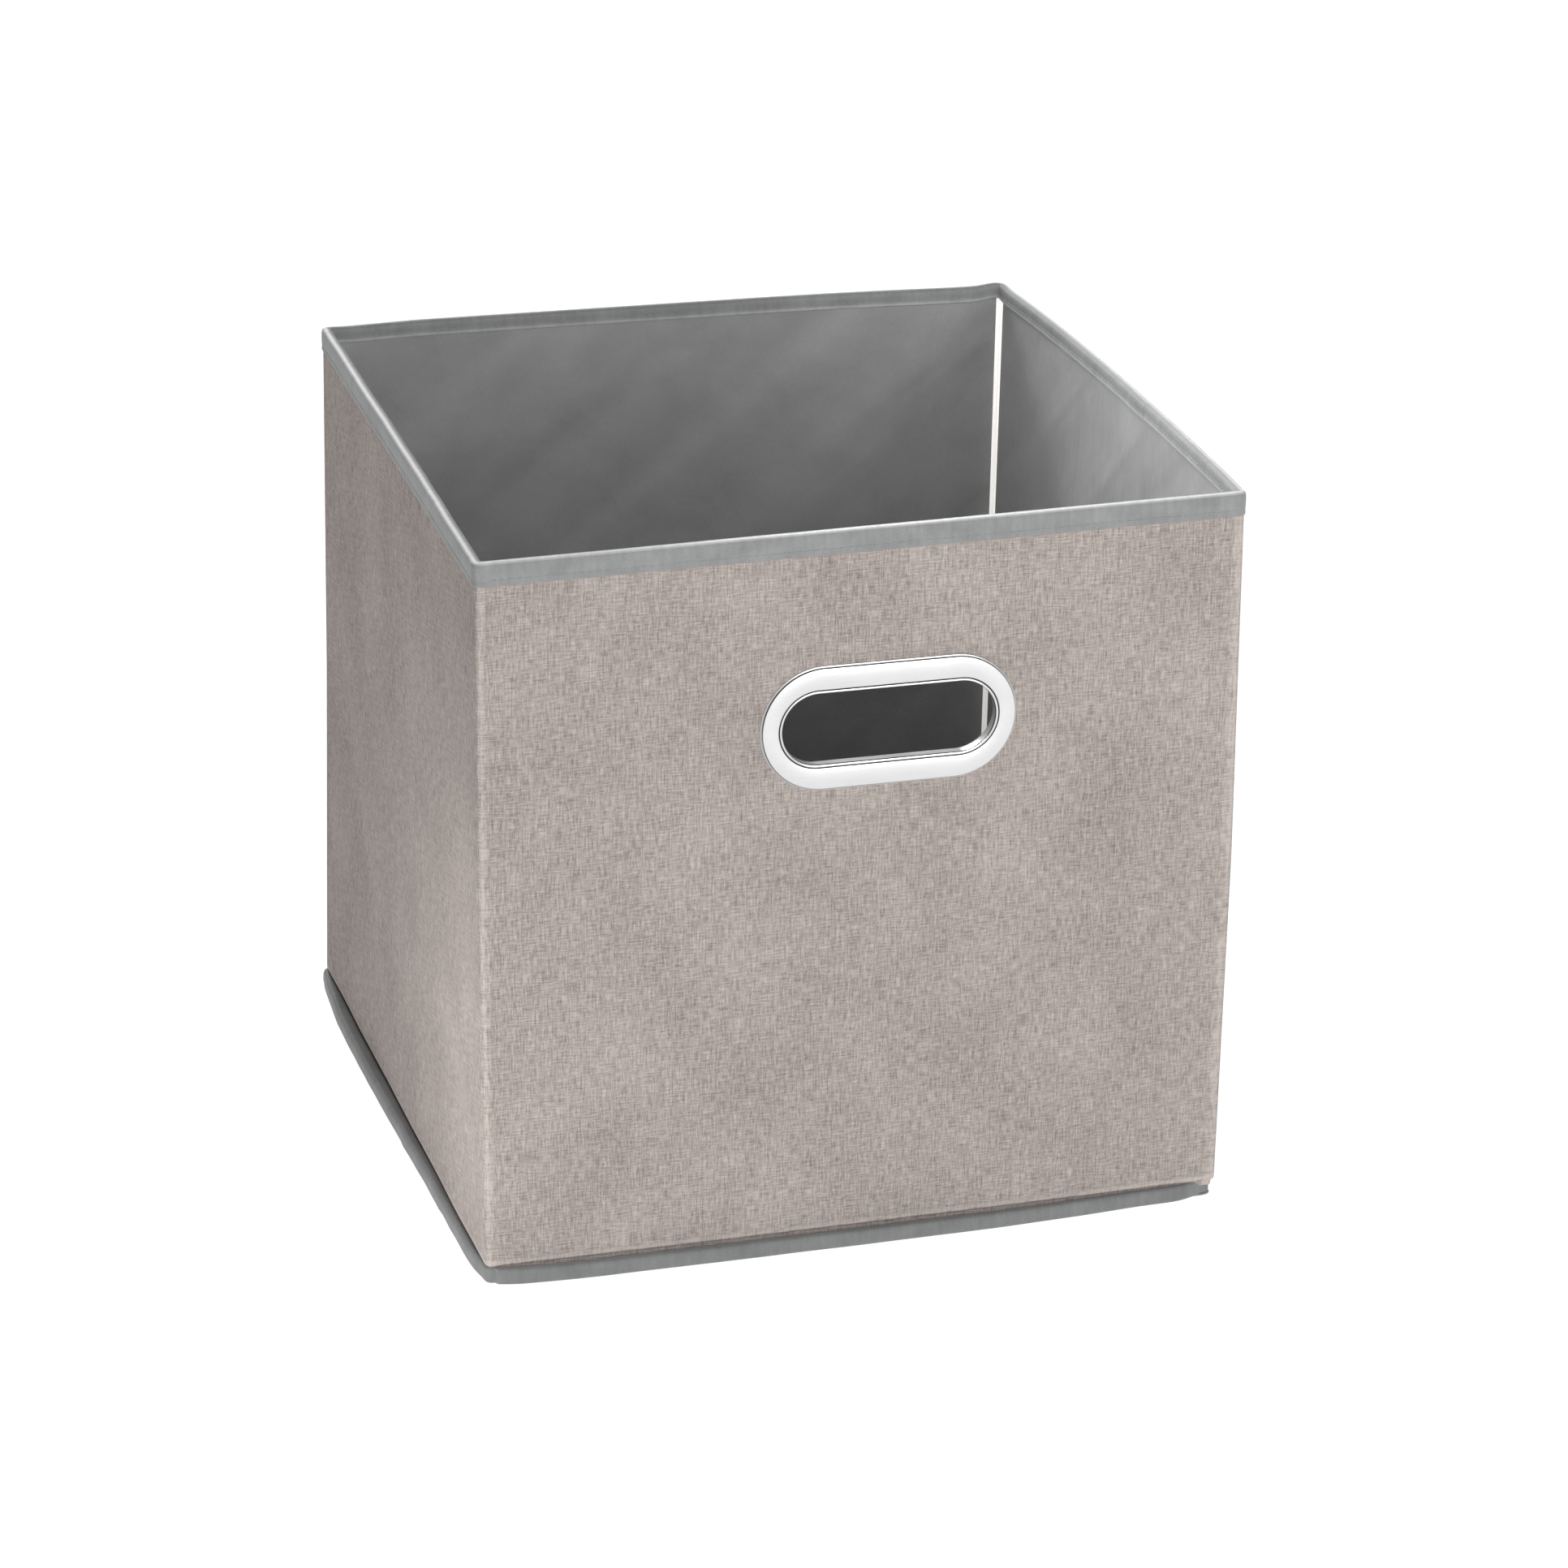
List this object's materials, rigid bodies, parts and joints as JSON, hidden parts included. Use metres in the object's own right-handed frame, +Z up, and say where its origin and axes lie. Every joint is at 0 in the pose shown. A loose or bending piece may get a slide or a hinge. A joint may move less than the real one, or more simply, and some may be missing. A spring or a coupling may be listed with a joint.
{
  "type": "folding fabric storage bin",
  "caption": "Square fold-flat fabric storage bin with card-stiffened walls, taped rim and an oval metal grip hole in the front.",
  "frame": {"origin": "middle of the bin's footprint, on the surface that it stands on", "axes": "+X to the right as seen from the front, -Y out of the front (the wall with the grip hole), +Z up"},
  "size_m": [0.314, 0.308, 0.308],
  "materials": {
    "cover_fabric": "matte",
    "lining_fabric": "matte",
    "binding_tape": "matte",
    "backing_cloth": "matte",
    "cardboard": "matte",
    "ring_metal": "satin"
  },
  "bodies": {
    "front_wall": {"front_cover": "cover_fabric", "front_card": "cardboard", "front_lining": "lining_fabric", "front_rim_binding": "binding_tape", "front_bottom_welt": "binding_tape", "front_left_corner_backing": "backing_cloth", "front_right_corner_backing": "backing_cloth", "handle_front_ring": "ring_metal", "handle_back_ring": "ring_metal", "bottom_panel": "lining_fabric"},
    "left_front_half": {"left_front_cover": "cover_fabric", "left_front_card": "cardboard", "left_front_lining": "lining_fabric", "left_front_rim_binding": "binding_tape", "left_front_bottom_welt": "binding_tape"},
    "left_rear_half": {"left_rear_cover": "cover_fabric", "left_rear_card": "cardboard", "left_rear_lining": "lining_fabric", "left_rear_rim_binding": "binding_tape", "left_rear_bottom_welt": "binding_tape"},
    "right_front_half": {"right_front_cover": "cover_fabric", "right_front_card": "cardboard", "right_front_lining": "lining_fabric", "right_front_rim_binding": "binding_tape", "right_front_bottom_welt": "binding_tape"},
    "right_rear_half": {"right_rear_cover": "cover_fabric", "right_rear_card": "cardboard", "right_rear_lining": "lining_fabric", "right_rear_rim_binding": "binding_tape", "right_rear_bottom_welt": "binding_tape"},
    "back_wall": {"back_cover": "cover_fabric", "back_card": "cardboard", "back_lining": "lining_fabric", "back_rim_binding": "binding_tape", "back_bottom_welt": "binding_tape", "back_left_corner_backing": "backing_cloth", "back_right_corner_backing": "backing_cloth", "base_hinge_tape": "binding_tape"},
    "loose_base": {"base_card": "cardboard", "base_pocket": "lining_fabric"}
  },
  "joints": [
    {"name": "right_front_corner", "type": "hinge", "parent": "front_wall", "child": "right_front_half", "pos_m": [0.1513, -0.1442, 0], "axis": [0, 0, 1], "range_deg": [0, 89.5], "deforming": ["bottom_panel", "front_bottom_welt", "right_front_bottom_welt"]},
    {"name": "right_side_crease", "type": "hinge", "parent": "right_front_half", "child": "right_rear_half", "pos_m": [0.16, 0, 0], "axis": [0, 0, -1], "range_deg": [0, 179], "deforming": ["right_rear_bottom_welt"]},
    {"name": "right_rear_corner", "type": "hinge", "parent": "right_rear_half", "child": "back_wall", "pos_m": [0.1513, 0.1442, 0], "axis": [0, 0, 1], "range_deg": [0, 89.5], "deforming": ["back_bottom_welt"]},
    {"name": "left_front_corner", "type": "hinge", "parent": "front_wall", "child": "left_front_half", "pos_m": [-0.1513, -0.1442, 0], "axis": [0, 0, -1], "range_deg": [0, 89.5], "deforming": ["left_front_bottom_welt"]},
    {"name": "left_side_crease", "type": "hinge", "parent": "left_front_half", "child": "left_rear_half", "pos_m": [-0.16, 0, 0], "axis": [0, 0, 1], "range_deg": [0, 179], "deforming": ["left_rear_bottom_welt"]},
    {"name": "base_flip", "type": "hinge", "parent": "back_wall", "child": "loose_base", "pos_m": [0, 0.1481, 0.005], "axis": [-1, 0, 0], "range_deg": [0, 90]}
  ],
  "couplings": [
    {"joint": "right_side_crease", "follows": "right_front_corner", "ratio": 2},
    {"joint": "right_rear_corner", "follows": "right_front_corner", "ratio": 1},
    {"joint": "left_front_corner", "follows": "right_front_corner", "ratio": 1},
    {"joint": "left_side_crease", "follows": "right_front_corner", "ratio": 2}
  ]
}
